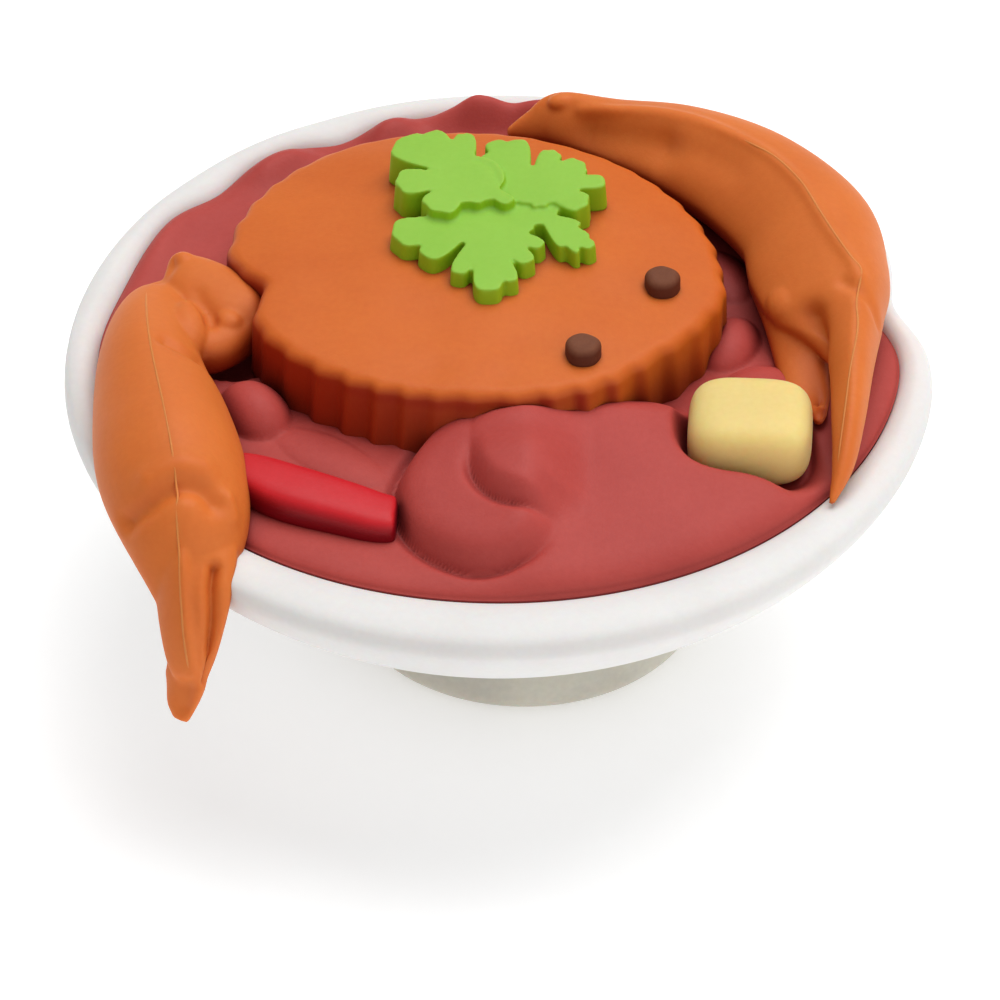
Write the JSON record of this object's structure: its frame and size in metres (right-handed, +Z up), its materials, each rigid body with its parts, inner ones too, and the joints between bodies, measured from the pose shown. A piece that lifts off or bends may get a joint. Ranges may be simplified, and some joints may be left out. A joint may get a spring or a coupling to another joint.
{
  "type": "rubber crab dish charm",
  "caption": "Small soft-rubber charm moulded as a cooked crab in red sauce, with claws, a leaf, a chilli and a bun, in a round white bowl on a button foot.",
  "frame": {"origin": "centre of the foot's flat underside", "axes": "+Z up out of the bowl, -Y to the front where the crab faces, +X to the right seen from the front"},
  "size_m": [0.0317, 0.032, 0.0153],
  "materials": {
    "foot_rubber": "milky translucent, satin",
    "bowl_rubber": "white, fine matte",
    "sauce_rubber": "dull brick red, fine matte",
    "crab_rubber": "burnt orange, fine matte",
    "eye_rubber": "dark brown, fine matte",
    "leaf_rubber": "fresh green, fine matte",
    "chilli_rubber": "bright red, satin",
    "bun_rubber": "pale yellow, fine matte"
  },
  "bodies": {
    "root": {"foot": "foot_rubber", "bowl": "bowl_rubber", "sauce": "sauce_rubber", "crab_shell": "crab_rubber", "claw_left": "crab_rubber", "claw_right": "crab_rubber", "eye_left": "eye_rubber", "eye_right": "eye_rubber", "coriander": "leaf_rubber", "chilli": "chilli_rubber", "bun": "bun_rubber"}
  },
  "joints": []
}
